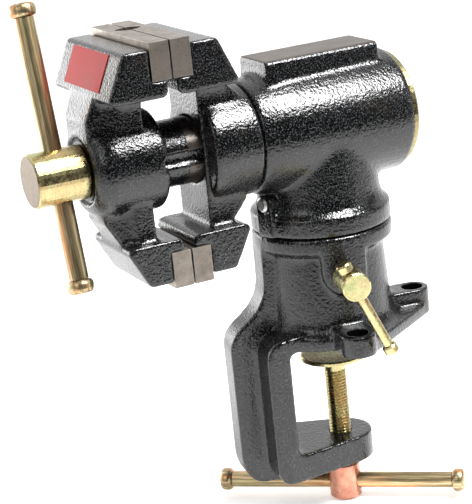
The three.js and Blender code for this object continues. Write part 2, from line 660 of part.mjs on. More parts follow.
/** The plain label on the sloping front of the upper movable jaw block. */
function jawLabel() {
  const crown = [UPPER.movingFace - MOVING_CROWN, UPPER.outer - 1];
  const heel = [UPPER.movingFace - MOVING_HEEL, UPPER.inner + 3];
  const slope = Math.atan2(crown[0] - heel[0], crown[1] - heel[1]);
  const { halfWidth, y, topMargin, height, thickness } = LABEL;
  const film = 0.08;
  const bottom = -topMargin - height;
  const plate = block(-film - thickness, -film, y - halfWidth, y + halfWidth, bottom, -topMargin);
  const leaning = plate.transform(new THREE.Matrix4().makeRotationY(slope).elements);
  return onAxis(leaning.translate(crown[0], 0, crown[1]));
}

// ---- Rear cap, lead nut and key -------------------------------------------------------------

const capScrewAngles = () => [0, 1, 2].map((index) => Math.PI / 2 + index * 2 * Math.PI / 3);
const CAP_SCREW = { shank: 1.5, head: 2.9, length: 11 };

const placeCapScrew = (body, angle) => alongX(body).translate(
  CAP.rear - 0.2, CAP_SCREW_REACH * Math.cos(angle), CAP_SCREW_REACH * Math.sin(angle),
);

function rearCap() {
  const bore = NUT.radius + GAP;
  const recess = NUT.flangeRadius + GAP;
  const recessFloor = NUT.flangeFront - GAP;
  const disc = alongX(turned([
    [bore, CAP.front], [CAP.radius - 0.6, CAP.front], [CAP.radius, CAP.front + 0.6],
    [CAP.radius, CAP.rear - 1.2], [CAP.radius - 1.2, CAP.rear], [recess, CAP.rear],
    [recess, recessFloor], [bore, recessFloor], [bore, CAP.front],
  ]));
  const { shank, head, length } = CAP_SCREW;
  const holes = capScrewAngles().map((angle) => placeCapScrew(countersunkHole(shank, head, length), angle));
  return onAxis(cut(disc, ...holes));
}

function capScrew(angle) {
  const { shank, head, length } = CAP_SCREW;
  return onAxis(placeCapScrew(countersunkScrew(shank, head, length), angle));
}

function leadNut() {
  const thread = SCREW_RADIUS + GAP;
  const clear = SCREW_RADIUS + 1.5;
  return onAxis(alongX(turned([
    [thread, NUT.front], [NUT.radius - 0.6, NUT.front], [NUT.radius, NUT.front + 0.6],
    [NUT.radius, NUT.flangeFront], [NUT.flangeRadius, NUT.flangeFront], [NUT.flangeRadius, CAP.rear - 0.2],
    [clear, CAP.rear - 0.2], [clear, NUT.threadEnd], [thread, NUT.threadEnd], [thread, NUT.front],
  ], FINE)));
}

function ramKey() {
  const { front, rear, inner, outer, halfWidth } = KEY;
  return onAxis(block(front, rear, -outer, -inner, -halfWidth, halfWidth));
}

// ---- Jaw screw ------------------------------------------------------------------------------

const COLLAR_PIN_RADIUS = 1.5;
const COLLAR_MIDDLE = (COLLAR.front + COLLAR.rear) / 2;

/** The hole for the collar's cross pin. */
const collarPinHole = () => rod(COLLAR_PIN_RADIUS + GAP, -20, 20, SMALL).translate(COLLAR_MIDDLE, 0, 0);

/** Tilts a bar, made about Z, about the jaw screw's axis and moves it into the screw head. */
function placeJawBar(body) {
  const tilted = body.transform(new THREE.Matrix4().makeRotationX(JAW_BAR_TILT).elements);
  return onAxis(tilted.translate(SCREW_HEAD.crossing, 0, 0));
}

function jawScrew() {
  const { front, rear, radius, crossing } = SCREW_HEAD;
  const body = alongX(turned([
    [0, front], [radius - 1, front], [radius, front + 1], [radius, rear - 0.8], [radius - 0.8, rear],
    [SCREW_RADIUS, rear], [SCREW_RADIUS, SCREW_END - 1.5], [SCREW_RADIUS - 1.5, SCREW_END], [0, SCREW_END],
  ]));
  const barHole = rod(JAW_BAR.radius + GAP, -20, 20, FINE)
    .transform(new THREE.Matrix4().makeRotationX(JAW_BAR_TILT).elements)
    .translate(crossing, 0, 0);
  return onAxis(cut(body, barHole, collarPinHole()));
}

function thrustWasher() {
  return onAxis(alongX(sleeve(SCREW_RADIUS + GAP, WASHER.radius, WASHER.front, WASHER.rear, FINE)));
}

function retainingCollar() {
  const ring = alongX(sleeve(SCREW_RADIUS + GAP, COLLAR.radius, COLLAR.front, COLLAR.rear, FINE));
  return onAxis(cut(ring, collarPinHole()));
}

const collarPin = () => onAxis(rod(COLLAR_PIN_RADIUS, -10.6, 10.6, SMALL).translate(COLLAR_MIDDLE, 0, 0));

// ---- Clamp screw ----------------------------------------------------------------------------

function clampPad() {
  const { radius, top, rim, hubRadius, hubBottom, socket, depth } = CLAMP_PAD;
  return turned([
    [0, top], [radius - 0.7, top], [radius, top - 0.7], [radius, top - rim],
    [hubRadius + 2, hubBottom + 1.2], [hubRadius, hubBottom + 0.4], [hubRadius - 0.4, hubBottom],
    [socket, hubBottom], [socket, hubBottom + depth], [0, hubBottom + depth],
  ]);
}

const CLAMP_SPIGOT = { radius: 4.5, depth: 3.8 };

function clampScrew() {
  const tipTop = CLAMP_PAD.hubBottom + CLAMP_PAD.depth - GAP;
  const shoulder = CLAMP_PAD.hubBottom - GAP;
  const tipRadius = CLAMP_PAD.socket - GAP;
  const bottom = CLAMP_HEAD.top + GAP;
  return turned([
    [0, bottom - CLAMP_SPIGOT.depth], [CLAMP_SPIGOT.radius, bottom - CLAMP_SPIGOT.depth],
    [CLAMP_SPIGOT.radius, bottom], [CLAMP_RADIUS, bottom], [CLAMP_RADIUS, shoulder],
    [tipRadius, shoulder], [tipRadius, tipTop - 0.8], [tipRadius - 0.8, tipTop], [0, tipTop],
  ], FINE);
}

/** Lays a bar, made about Z, level and moves it into the clamp screw's head. */
function placeClampBar(body) {
  const level = new THREE.Matrix4().makeRotationY(Math.PI / 2);
  const turn = new THREE.Matrix4().makeRotationZ(CLAMP_BAR_TURN);
  return body.transform(turn.multiply(level).elements).translate(0, 0, CLAMP_HEAD.crossing);
}

function clampScrewHead() {
  const { radius, top, bottom } = CLAMP_HEAD;
  const socketFloor = top - CLAMP_SPIGOT.depth;
  const socket = CLAMP_SPIGOT.radius + GAP;
  const body = turned([
    [0, bottom], [radius - 1, bottom], [radius, bottom + 1], [radius, top - 0.6], [radius - 0.6, top],
    [socket, top], [socket, socketFloor], [0, socketFloor],
  ]);
  return cut(body, placeClampBar(rod(CLAMP_BAR.radius + GAP, -20, 20, FINE)));
}

// ---- Lock screw -----------------------------------------------------------------------------

/** Moves a body made about Z on to the lock screw's axis, its +Z pointing outwards. */
const onLockAxis = (body) => alongMinusY(body)
  .transform(new THREE.Matrix4().makeRotationZ(LOCK_TURN).elements)
  .translate(0, 0, LOCK_HEIGHT);

/** Tilts the lock bar, made about Z, and moves it into the lock screw's head. */
function placeLockBar(body) {
  const tilted = body.transform(new THREE.Matrix4().makeRotationY(-LOCK_BAR_TILT).elements);
  const turn = new THREE.Matrix4().makeRotationZ(LOCK_TURN);
  return tilted.translate(0, -LOCK_HEAD.crossing, 0).transform(turn.elements).translate(0, 0, LOCK_HEIGHT);
}

const lockShoe = () => onLockAxis(rod(LOCK_SHANK_RADIUS, GROOVE_RADIUS + GAP, GROOVE_RADIUS + 5, 24));

function lockScrew() {
  const { radius, start, end } = LOCK_HEAD;
  const tip = GROOVE_RADIUS + 5 + GAP;
  const body = onLockAxis(turned([
    [0, tip], [LOCK_SHANK_RADIUS - 0.6, tip], [LOCK_SHANK_RADIUS, tip + 0.6], [LOCK_SHANK_RADIUS, start],
    [radius - 0.5, start], [radius, start + 0.5], [radius, end - 0.6], [radius - 0.6, end], [0, end],
  ], FINE));
  return cut(body, placeLockBar(rod(LOCK_BAR.radius + GAP, -12, 12, 24)));
}

// ---- Assembly -------------------------------------------------------------------------------

const FINISHES = {
  casting: { color: 0x26282a, roughness: 0.45, metalness: 0.35 },
  zinc: { color: 0xc9a85c, roughness: 0.28, metalness: 1.0 },
  copper: { color: 0xd08a74, roughness: 0.35, metalness: 1.0 },
  ground: { color: 0x9b9085, roughness: 0.4, metalness: 1.0 },
  steel: { color: 0x8d9094, roughness: 0.35, metalness: 1.0 },
  label: { color: 0xd8403c, roughness: 0.5, metalness: 0.0 },
};

const vise = new THREE.Group();
const base = new THREE.Group();
base.rotation.z = BASE_TURN;
vise.add(base);

function addPiece(parent, name, finish, body) {
  const mesh = new THREE.Mesh(geometryOf(body), new THREE.MeshStandardMaterial(FINISHES[finish]));
  mesh.name = name;
  parent.add(mesh);
}

/** A sliding bar and its two end knobs; `place` moves a body made about Z into the screw head. */
function addBar(parent, name, size, bottom, top, place) {
  const hole = size.radius * 0.64 + GAP;
  const depth = size.knobLength * 0.7 + GAP;
  const end = knob(size.knobRadius, size.knobLength, hole, depth);
  const turnedOver = end.transform(new THREE.Matrix4().makeRotationX(Math.PI).elements);
  addPiece(parent, `${name}_bar`, 'zinc', place(tommyBar(size, bottom, top)));
  addPiece(parent, `${name}_bar_knob_a`, 'zinc', place(end.translate(0, 0, top - size.knobLength)));
  addPiece(parent, `${name}_bar_knob_b`, 'zinc', place(turnedOver.translate(0, 0, bottom + size.knobLength)));
}

addPiece(base, 'base_casting', 'casting', baseCasting());
addPiece(vise, 'swivel_casting', 'casting', swivelCasting());
addPiece(vise, 'flange_stop_pin', 'steel', stopPin());
addPiece(vise, 'fixed_jaw_casting', 'casting', fixedJawCasting());
addPiece(vise, 'movable_jaw_casting', 'casting', movableJawCasting());

const JAWS = [['fixed', 'fixedFace', 1], ['movable', 'movingFace', -1]];
const ROWS = [['upper', UPPER, 1], ['lower', LOWER, -1]];
for (const [jaw, faceName, side] of JAWS) {
  for (const [level, row, sign] of ROWS) {
    const face = row[faceName];
    addPiece(vise, `${level}_${jaw}_pad`, 'ground', jawPad(row, sign, face, side));
    padScrewPlaces(row).forEach(([y, height], index) => {
      const name = `${level}_${jaw}_pad_screw_${index + 1}`;
      addPiece(vise, name, 'steel', padScrew(row, sign, face, side, y, height));
    });
  }
}

addPiece(vise, 'jaw_label', 'label', jawLabel());
addPiece(vise, 'rear_cap', 'zinc', rearCap());
capScrewAngles().forEach((angle, index) => {
  addPiece(vise, `cap_screw_${index + 1}`, 'steel', capScrew(angle));
});
addPiece(vise, 'lead_nut', 'steel', leadNut());
addPiece(vise, 'ram_key', 'steel', ramKey());

addPiece(vise, 'jaw_screw', 'zinc', jawScrew());
addPiece(vise, 'thrust_washer', 'steel', thrustWasher());
addPiece(vise, 'retaining_collar', 'steel', retainingCollar());
addPiece(vise, 'collar_pin', 'steel', collarPin());
addBar(
  vise, 'jaw', JAW_BAR, JAW_BAR.slide - JAW_BAR.halfLength, JAW_BAR.slide + JAW_BAR.halfLength, placeJawBar,
);

addPiece(vise, 'clamp_pad', 'zinc', clampPad());
addPiece(vise, 'clamp_screw', 'zinc', clampScrew());
addPiece(vise, 'clamp_screw_head', 'copper', clampScrewHead());
addBar(
  vise, 'clamp', CLAMP_BAR, CLAMP_BAR.slide - CLAMP_BAR.halfLength, CLAMP_BAR.slide + CLAMP_BAR.halfLength,
  placeClampBar,
);

addPiece(base, 'lock_shoe', 'steel', lockShoe());
addPiece(base, 'lock_screw', 'zinc', lockScrew());
addBar(base, 'lock', LOCK_BAR, LOCK_BAR.bottom, LOCK_BAR.top, placeLockBar);

export default vise;
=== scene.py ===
"""Looks of the bench vise: cast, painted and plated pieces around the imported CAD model."""
import json
import math

import bpy
import numpy as np
from mathutils import Euler, Matrix, Vector

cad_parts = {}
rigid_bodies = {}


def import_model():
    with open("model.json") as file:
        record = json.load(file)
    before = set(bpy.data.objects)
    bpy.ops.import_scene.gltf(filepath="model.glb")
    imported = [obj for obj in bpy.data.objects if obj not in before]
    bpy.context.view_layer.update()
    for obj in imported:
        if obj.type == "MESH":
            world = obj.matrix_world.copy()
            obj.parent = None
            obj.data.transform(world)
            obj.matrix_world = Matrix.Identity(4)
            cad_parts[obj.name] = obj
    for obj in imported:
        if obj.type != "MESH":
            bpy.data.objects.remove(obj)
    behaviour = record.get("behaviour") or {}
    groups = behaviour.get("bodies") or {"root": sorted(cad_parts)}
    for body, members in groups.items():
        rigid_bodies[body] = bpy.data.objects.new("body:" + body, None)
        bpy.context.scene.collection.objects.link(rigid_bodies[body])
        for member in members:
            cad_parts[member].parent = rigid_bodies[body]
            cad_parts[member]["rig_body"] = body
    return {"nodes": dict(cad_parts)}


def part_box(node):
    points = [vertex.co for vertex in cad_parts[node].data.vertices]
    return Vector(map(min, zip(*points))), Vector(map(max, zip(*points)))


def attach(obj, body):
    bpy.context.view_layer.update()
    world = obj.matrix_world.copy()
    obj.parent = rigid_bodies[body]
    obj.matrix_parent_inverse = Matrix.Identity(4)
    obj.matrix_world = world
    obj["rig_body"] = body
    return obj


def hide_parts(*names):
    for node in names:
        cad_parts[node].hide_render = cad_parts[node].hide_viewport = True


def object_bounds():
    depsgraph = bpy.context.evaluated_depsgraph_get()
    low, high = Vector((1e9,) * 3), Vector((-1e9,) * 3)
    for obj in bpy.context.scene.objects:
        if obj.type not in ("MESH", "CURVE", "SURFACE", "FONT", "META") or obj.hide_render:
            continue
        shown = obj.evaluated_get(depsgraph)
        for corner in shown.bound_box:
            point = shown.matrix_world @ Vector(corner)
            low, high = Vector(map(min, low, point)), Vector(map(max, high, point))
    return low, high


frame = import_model()
nodes = frame["nodes"]
cad_low, cad_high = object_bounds()
scene = bpy.context.scene

MM = 0.001
AXIS_HEIGHT = 116.8 * MM
FLOOR_HEIGHT = cad_low.z - 0.5 * MM
RELIEF = 0.30 * MM                    # depth of the hammered enamel's texture

VOXEL = 0.9 * MM
RAM_RADIUS = 17.6 * MM
RAM_STRIP = -80.9 * MM                # the bare strip of the ram starts at this x
SCREW_FACE = -160.9 * MM              # the end face of the jaw screw's head

# The tilts of two sliding bars and of the base, as the CAD source gives them.
JAW_BAR_TURN = Euler((math.radians(-13), 0, 0))
CLAMP_BAR_TURN = Euler((0, math.radians(90), math.radians(-40)))
BASE_TURN = math.radians(-10.5)

PADS = [f"{row}_{jaw}_pad" for row in ("upper", "lower") for jaw in ("fixed", "movable")]
PAD_SCREWS = [f"{pad}_screw_{n}" for pad in PADS for n in (1, 2)]
LUG_HOLES = [
    (x * math.cos(BASE_TURN) - y * math.sin(BASE_TURN), x * math.sin(BASE_TURN) + y * math.cos(BASE_TURN))
    for x, y in ((0, -46.7 * MM), (0, 46.7 * MM), (49 * MM, 0))
]
WELL_RADIUS = 7 * MM                  # kept clear of fillets round each lug hole

# The clamp screw's [height, radius] outline in mm, and its thread.
CLAMP_SCREW = [
    (-83.0, 4.5), (-79.2, 4.5), (-79.15, 6.0), (-19.35, 6.0), (-19.3, 5.0), (-16.4, 5.0), (-16.3, 4.6),
]
CLAMP_THREAD = (-77.5 * MM, -23 * MM)
CLAMP_PITCH = 1.75 * MM
CLAMP_THREAD_DEPTH = 0.95 * MM

# A knob's (radius, height) outline, as shares of its own radius and length.
KNOB = [
    (0.55, 0.0), (0.80, 0.02), (0.93, 0.12), (1.0, 0.32), (1.0, 0.62), (0.95, 0.82), (0.84, 0.94),
    (0.66, 1.0), (0.30, 1.0),
]


# ---- Node helpers ---------------------------------------------------------------------------

class Shader:
    """A material's node tree, built with short calls that return output sockets."""

    def __init__(self, name):
        self.material = bpy.data.materials.new(name)
        self.material.use_nodes = True
        self.tree = self.material.node_tree
        self.surface = self.tree.nodes["Principled BSDF"]
        self.place = self.add("ShaderNodeTexCoord").outputs["Object"]

    def add(self, kind, inputs=None, **settings):
        made = self.tree.nodes.new(kind)
        for key, value in settings.items():
            setattr(made, key, value)
        for key, value in (inputs or {}).items():
            self.feed(made.inputs[key], value)
        return made

    def feed(self, socket, value):
        if isinstance(value, bpy.types.NodeSocket):
            self.tree.links.new(value, socket)
        else:
            socket.default_value = value

    def set(self, **inputs):
        for key, value in inputs.items():
            self.feed(self.surface.inputs[key.replace("_", " ").title().replace("Ior", "IOR")], value)

    def math(self, operation, a, b=0.0, clamp=False):
        return self.add("ShaderNodeMath", {0: a, 1: b}, operation=operation, use_clamp=clamp).outputs[0]

    def noise(self, scale, detail=2.0, roughness=0.5, place=None, distortion=0.0):
        inputs = {
            "Vector": self.place if place is None else place,
            "Scale": scale,
            "Detail": detail,
            "Roughness": roughness,
            "Distortion": distortion,
        }
        return self.add("ShaderNodeTexNoise", inputs).outputs["Fac"]

    def cells(self, scale, smooth=0.6):
        inputs = {"Vector": self.place, "Scale": scale, "Smoothness": smooth}
        return self.add("ShaderNodeTexVoronoi", inputs, feature="SMOOTH_F1").outputs["Distance"]

    def between(self, value, low, high, to_low=0.0, to_high=1.0):
        inputs = {
            "Value": value, "From Min": low, "From Max": high, "To Min": to_low, "To Max": to_high,
        }
        return self.add("ShaderNodeMapRange", inputs, interpolation_type="SMOOTHSTEP").outputs[0]

    def ramp(self, value, stops):
        made = self.add("ShaderNodeValToRGB", {"Fac": value})
        elements = made.color_ramp.elements
        elements[0].position, elements[0].color = stops[0][0], (*stops[0][1], 1)
        elements[1].position, elements[1].color = stops[-1][0], (*stops[-1][1], 1)
        for position, colour in stops[1:-1]:
            elements.new(position).color = (*colour, 1)
        return made.outputs["Color"]

    def mix(self, share, first, second, blend="MIX"):
        inputs = {"Fac": share, "Color1": first, "Color2": second}
        return self.add("ShaderNodeMixRGB", inputs, blend_type=blend).outputs["Color"]

    def bump(self, height, distance, strength=1.0):
        inputs = {"Height": height, "Distance": distance, "Strength": strength}
        return self.add("ShaderNodeBump", inputs).outputs["Normal"]

    def split(self, place=None):
        made = self.add("ShaderNodeSeparateXYZ", {0: self.place if place is None else place})
        return made.outputs[0], made.outputs[1], made.outputs[2]

    def reach(self, centre):
        """Distance in plan from an upright axis."""
        x, y = self.split()[:2]
        offset = self.add("ShaderNodeCombineXYZ", {
            0: self.math("SUBTRACT", x, centre[0]),
            1: self.math("SUBTRACT", y, centre[1]),
        })
        return self.add("ShaderNodeVectorMath", {0: offset.outputs[0]}, operation="LENGTH").outputs["Value"]

    def along(self, turn, centre, scale):
        """Coordinates in the frame of a turned piece, each multiplied by its own scale."""
        inverse = turn.to_matrix().inverted()
        moved = self.add("ShaderNodeMapping", {
            "Vector": self.place,
            "Location": -(inverse @ Vector(centre)),
            "Rotation": inverse.to_euler(),
        }).outputs[0]
        return self.add("ShaderNodeVectorMath", {0: moved, 1: scale}, operation="MULTIPLY").outputs[0]

    def edge_wear(self, radius=0.6 * MM):
        """1 where the surface is convex at that radius, such as along a corner."""
        rounded = self.add("ShaderNodeBevel", {"Radius": radius}, samples=4).outputs[0]
        flat = self.add("ShaderNodeNewGeometry").outputs["Normal"]
        aligned = self.add("ShaderNodeVectorMath", {0: rounded, 1: flat}, operation="DOT_PRODUCT")
        return self.between(aligned.outputs["Value"], 0.97, 0.80)


def grey(value, tint=(1, 1, 1)):
    return tuple(value * t for t in tint)


# ---- Materials ------------------------------------------------------------------------------

def bare_metal(shader, direction_place):
    """Colour, roughness and height of oiled cast iron with fine machining lines."""
    lines = shader.noise(1.0, 3.0, 0.6, place=direction_place)
    blotches = shader.noise(90, 3.0, 0.6)
    colour = shader.ramp(blotches, [(0.3, (0.085, 0.070, 0.056)), (0.7, (0.160, 0.135, 0.112))])
    colour = shader.mix(0.35, colour, shader.ramp(lines, [(0.3, grey(0.2)), (0.7, grey(0.9))]), "OVERLAY")
    return colour, shader.between(blotches, 0.3, 0.7, 0.34, 0.46), lines


def paint(name, bare=None, holes=()):
    """
    Glossy black hammered enamel. `bare` gives a mask and stretched coordinates for bare metal, and
    `holes` are the (x, y) of upright holes whose walls get painted shade: near-black, rough and with little
    shine.
    """
    shader = Shader(name)
    hammered = shader.noise(520, 2.0, 0.5, distortion=0.5)
    grain = shader.noise(1250, 2.0, 0.6)
    pits = shader.cells(700)
    height = shader.math("ADD", shader.math("MULTIPLY", grain, 0.35), shader.math("MULTIPLY", pits, 0.4))
    height = shader.math("ADD", height, shader.math("MULTIPLY", hammered, 0.75))
    patches = shader.noise(35, 3.0, 0.55)
    colour = shader.ramp(grain, [
        (0.42, (0.0010, 0.0011, 0.0013)), (0.54, (0.0050, 0.0052, 0.0057)), (0.68, (0.055, 0.056, 0.058)),
    ])
    brown = shader.between(shader.noise(26, 2.0, 0.5), 0.62, 0.78, 0, 0.5)
    colour = shader.mix(brown, colour, (0.018, 0.012, 0.006, 1))
    roughness = shader.between(patches, 0.3, 0.7, 0.13, 0.20)
    relief = shader.bump(height, RELIEF, 1.0)
    metallic = 0.0
    shine = 0.6
    # Painted shade: the walls of each upright hole are coloured near-black, made rough and given little
    # shine.
    for hole in holes:
        painted_hole_shade = shader.between(shader.reach(hole), 6.1 * MM, 5.7 * MM)
        colour = shader.mix(painted_hole_shade, colour, (0.002, 0.002, 0.002, 1))
        roughness = shader.mix(painted_hole_shade, roughness, (0.9, 0.9, 0.9, 1))
        shine = shader.math("MULTIPLY", shine, shader.math("SUBTRACT", 1.0, painted_hole_shade))
    if bare is not None:
        mask, place = bare(shader)
        metal, metal_roughness, lines = bare_metal(shader, place)
        colour = shader.mix(mask, colour, metal)
        roughness = shader.mix(mask, roughness, metal_roughness)
        relief = shader.bump(
            shader.mix(mask, height, shader.math("MULTIPLY", lines, 0.06)), RELIEF, 1.0,
        )
        metallic = mask
    shader.set(base_color=colour, roughness=roughness, normal=relief, metallic=metallic)
    shader.set(specular_ior_level=shine)
    return shader.material


def anvil_face(shader):
    """The top of the anvil, where the enamel has been ground away."""
    height = shader.split()[2]
    wobble = shader.math("MULTIPLY", shader.noise(300), 0.5 * MM)
    edge = AXIS_HEIGHT + 39.55 * MM
    mask = shader.between(shader.math("ADD", height, wobble), edge, edge + 0.25 * MM)
    return mask, shader.along(Euler((0, 0, 0)), (0, 0, 0), (60, 1800, 200))


def ram_face(shader):
    """The machined rear of the ram, which slides in the fixed jaw."""
    x, y, z = shader.split()
    reach = shader.add("ShaderNodeCombineXYZ", {0: y, 1: shader.math("SUBTRACT", z, AXIS_HEIGHT), 2: 0.0})
    radius = shader.add("ShaderNodeVectorMath", {0: reach.outputs[0]}, operation="LENGTH").outputs["Value"]
    rear = shader.between(x, RAM_STRIP, RAM_STRIP + 0.5 * MM)
    near = shader.between(radius, RAM_RADIUS + 0.8 * MM, RAM_RADIUS + 0.4 * MM)
    outside = shader.between(radius, RAM_RADIUS - 1.2 * MM, RAM_RADIUS - 0.7 * MM)
    mask = shader.math("MULTIPLY", shader.math("MULTIPLY", rear, near), outside)
    mask = shader.math("MULTIPLY", mask, 0.6)
    return mask, shader.along(Euler((0, 0, 0)), (0, 0, 0), (2600, 60, 60))


def zinc_bar(name, turn, centre, light):
    """Yellow passivated zinc on drawn bar: streaks along the bar from gold to olive and rust."""
    shader = Shader(name)
    streaks = shader.noise(1.0, 4.0, 0.62, place=shader.along(turn, centre, (760, 760, 26)))
    fine = shader.noise(1.0, 3.0, 0.6, place=shader.along(turn, centre, (1300, 1300, 60)))
    drift = shader.noise(1.0, 2.0, 0.5, place=shader.along(turn, centre, (150, 150, 16)))
    colour = shader.ramp(streaks, [
        (0.30, grey(light, (0.14, 0.095, 0.050))), (0.42, grey(light, (0.29, 0.215, 0.115))),
        (0.52, grey(light, (0.44, 0.345, 0.200))), (0.62, grey(light, (0.60, 0.490, 0.300))),
        (0.74, grey(light, (0.76, 0.650, 0.440))),
    ])
    rusty = shader.between(drift, 0.47, 0.58, 0, 0.9)
    colour = shader.mix(rusty, colour, (*grey(light, (0.54, 0.290, 0.140)), 1))
    olive = shader.between(drift, 0.46, 0.32, 0, 0.5)
    colour = shader.mix(olive, colour, (*grey(light, (0.25, 0.230, 0.115)), 1))
    colour = shader.mix(0.65, colour, shader.ramp(fine, [(0.3, grey(0.22)), (0.7, grey(0.95))]), "OVERLAY")
    roughness = shader.between(streaks, 0.3, 0.7, 0.42, 0.30)
    relief = shader.bump(shader.math("ADD", fine, streaks), 0.08 * MM, 0.6)
    shader.set(base_color=colour, roughness=roughness, normal=relief)
    shader.set(metallic=1.0)
    return shader.material


def zinc_turned(name, axis_scale, light, face=None):
    """
    Clean yellow zinc on a turned surface: pale gold with faint iridescent patches. Beyond the x
    of `face`, the end of a screw is darker and rougher.
    """
    shader = Shader(name)
    patches = shader.noise(70, 2.0, 0.5, distortion=0.8)
    rings = shader.noise(1.0, 2.0, 0.6, place=shader.along(Euler((0, 0, 0)), (0, 0, 0), axis_scale))
    speckle = shader.noise(420, 3.0, 0.6)
    colour = shader.ramp(patches, [
        (0.30, grey(light, (0.78, 0.550, 0.270))), (0.44, grey(light, (0.80, 0.660, 0.330))),
        (0.56, grey(light, (0.82, 0.720, 0.370))), (0.70, grey(light, (0.68, 0.700, 0.330))),
    ])
    colour = shader.mix(0.25, colour, shader.ramp(rings, [(0.3, grey(0.3)), (0.7, grey(0.8))]), "OVERLAY")
    roughness = shader.between(speckle, 0.3, 0.7, 0.22, 0.32)
    relief = shader.bump(rings, 0.01 * MM, 0.12)
    if face is not None:
        # Beyond the x of `face`, the end face is darker and rougher than the plated sides.
        end = shader.between(shader.split()[0], face + 0.12 * MM, face)
        dull = shader.ramp(speckle, [(0.3, (0.150, 0.115, 0.082)), (0.7, (0.205, 0.165, 0.122))])
        colour = shader.mix(end, colour, dull)
        roughness = shader.mix(end, roughness, (0.42, 0.42, 0.42, 1))
    shader.set(base_color=colour, roughness=roughness, normal=relief)
    shader.set(metallic=1.0)
    return shader.material


def copper():
    shader = Shader("copper_plate")
    patches = shader.noise(120, 3.0, 0.55)
    rings = shader.noise(1.0, 2.0, 0.6, place=shader.along(Euler((0, 0, 0)), (0, 0, 0), (60, 60, 2200)))
    colour = shader.ramp(patches, [
        (0.3, (0.46, 0.18, 0.12)), (0.55, (0.60, 0.29, 0.20)), (0.75, (0.68, 0.38, 0.27)),
    ])
    relief = shader.bump(rings, 0.06 * MM, 0.6)
    shader.set(base_color=colour, roughness=shader.between(patches, 0.3, 0.7, 0.32, 0.22), normal=relief)
    shader.set(metallic=1.0)
    return shader.material


def ground_steel():
    """Surface-ground jaw pads: warm grey, fine lines and small dark specks, bright along the edges."""
    shader = Shader("ground_steel")
    lines = shader.noise(1.0, 3.0, 0.65, place=shader.along(Euler((0, 0, 0)), (0, 0, 0), (2600, 90, 2600)))
    blotches = shader.noise(150, 4.0, 0.6)
    specks = shader.between(shader.noise(700, 2.0, 0.5), 0.62, 0.70, 0, 0.45)
    colour = shader.ramp(blotches, [(0.3, (0.20, 0.172, 0.146)), (0.7, (0.31, 0.272, 0.236))])
    colour = shader.mix(0.4, colour, shader.ramp(lines, [(0.3, grey(0.25)), (0.7, grey(0.8))]), "OVERLAY")
    colour = shader.mix(specks, colour, (0.12, 0.105, 0.09, 1))
    colour = shader.mix(shader.math("MULTIPLY", shader.edge_wear(), 0.5), colour, (0.75, 0.72, 0.68, 1))
    relief = shader.bump(shader.math("ADD", lines, blotches), 0.05 * MM, 0.7)
    shader.set(base_color=colour, roughness=shader.between(blotches, 0.3, 0.7, 0.48, 0.38), normal=relief)
    shader.set(metallic=1.0)
    return shader.material


def plain_steel(name, light):
    shader = Shader(name)
    patches = shader.noise(240, 3.0, 0.6)
    colour = shader.ramp(patches, [
        (0.3, grey(light * 0.68, (1, 0.98, 0.95))), (0.7, grey(light, (1, 0.99, 0.97))),
    ])
    relief = shader.bump(shader.noise(1400, 2.0, 0.6), 0.04 * MM, 0.6)
    shader.set(base_color=colour, roughness=shader.between(patches, 0.3, 0.7, 0.42, 0.30), normal=relief)
    shader.set(metallic=1.0)
    return shader.material


def label_film():
    """Plain red vinyl that follows the grain of the enamel under it."""
    shader = Shader("label_film")
    fade = shader.noise(40, 2.0, 0.5)
    colour = shader.ramp(fade, [(0.3, (0.42, 0.022, 0.020)), (0.7, (0.50, 0.034, 0.030))])
    relief = shader.bump(shader.noise(700, 2.0, 0.5), 0.10 * MM, 0.5)
    shader.set(base_color=colour, roughness=shader.between(fade, 0.3, 0.7, 0.30, 0.38), normal=relief)
    shader.set(specular_ior_level=0.06)
    return shader.material


# ---- Mesh helpers ---------------------------------------------------------------------------

def read_points(mesh):
    points = np.empty(len(mesh.vertices) * 3)
    mesh.vertices.foreach_get("co", points)
    return points.reshape(-1, 3)


def write_points(mesh, points):
    mesh.vertices.foreach_set("co", points.ravel())
    mesh.update()


def read_normals(mesh):
    normals = np.empty(len(mesh.vertices) * 3)
    mesh.vertex_normals.foreach_get("vector", normals)
    return normals.reshape(-1, 3)


def neighbour_mean(mesh):
    """A function from points to the mean of each point's neighbours."""
    edges = np.empty(len(mesh.edges) * 2, dtype=np.int64)
    mesh.edges.foreach_get("vertices", edges)
    start, end = edges.reshape(-1, 2).T
    count = len(mesh.vertices)
    valence = np.bincount(start, minlength=count) + np.bincount(end, minlength=count)

    def mean(points):
        columns = [
            np.bincount(start, points[end, k], count) + np.bincount(end, points[start, k], count)
            for k in range(3)
        ]
        return np.stack(columns, axis=1) / valence[:, None]

    return mean


def cast_shape(name, voxel, rounding, filling, keep_clear, wells=()):
    """
    The CAD node as a casting: its corners are rounded, and material is filled into its inside
    corners, except within the boxes of the nodes in `keep_clear` and round the upright holes
    in `wells`, which are (x, y, radius).
    """
    piece = bpy.data.objects.new(name + "_cast", nodes[name].data.copy())
    scene.collection.objects.link(piece)
    remesh = piece.modifiers.new("voxels", "REMESH")
    remesh.mode = "VOXEL"
    remesh.voxel_size = voxel
    mesh = bpy.data.meshes.new_from_object(piece.evaluated_get(bpy.context.evaluated_depsgraph_get()))
    piece.modifiers.clear()
    piece.data = mesh
    points = read_points(mesh)
    mean = neighbour_mean(mesh)
    free = np.ones(len(points), dtype=bool)
    margin = 1.2 * MM
    for other in keep_clear:
        low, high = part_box(other)
        inside = (points > np.array(low) - margin) & (points < np.array(high) + margin)
        free &= ~inside.all(axis=1)
    for x, y, radius in wells:
        free &= np.hypot(points[:, 0] - x, points[:, 1] - y) > radius
    for _ in range(rounding):
        points += 0.5 * (mean(points) - points)
    for step in range(filling):
        if step % 4 == 0:
            write_points(mesh, points)
            normals = read_normals(mesh)
        change = mean(points) - points
        outward = (change * normals).sum(axis=1) > 0
        points[outward & free] += 0.5 * change[outward & free]
    for _ in range(2):
        points += 0.5 * (mean(points) - points)
    write_points(mesh, points)
    mesh.shade_smooth()
    return piece


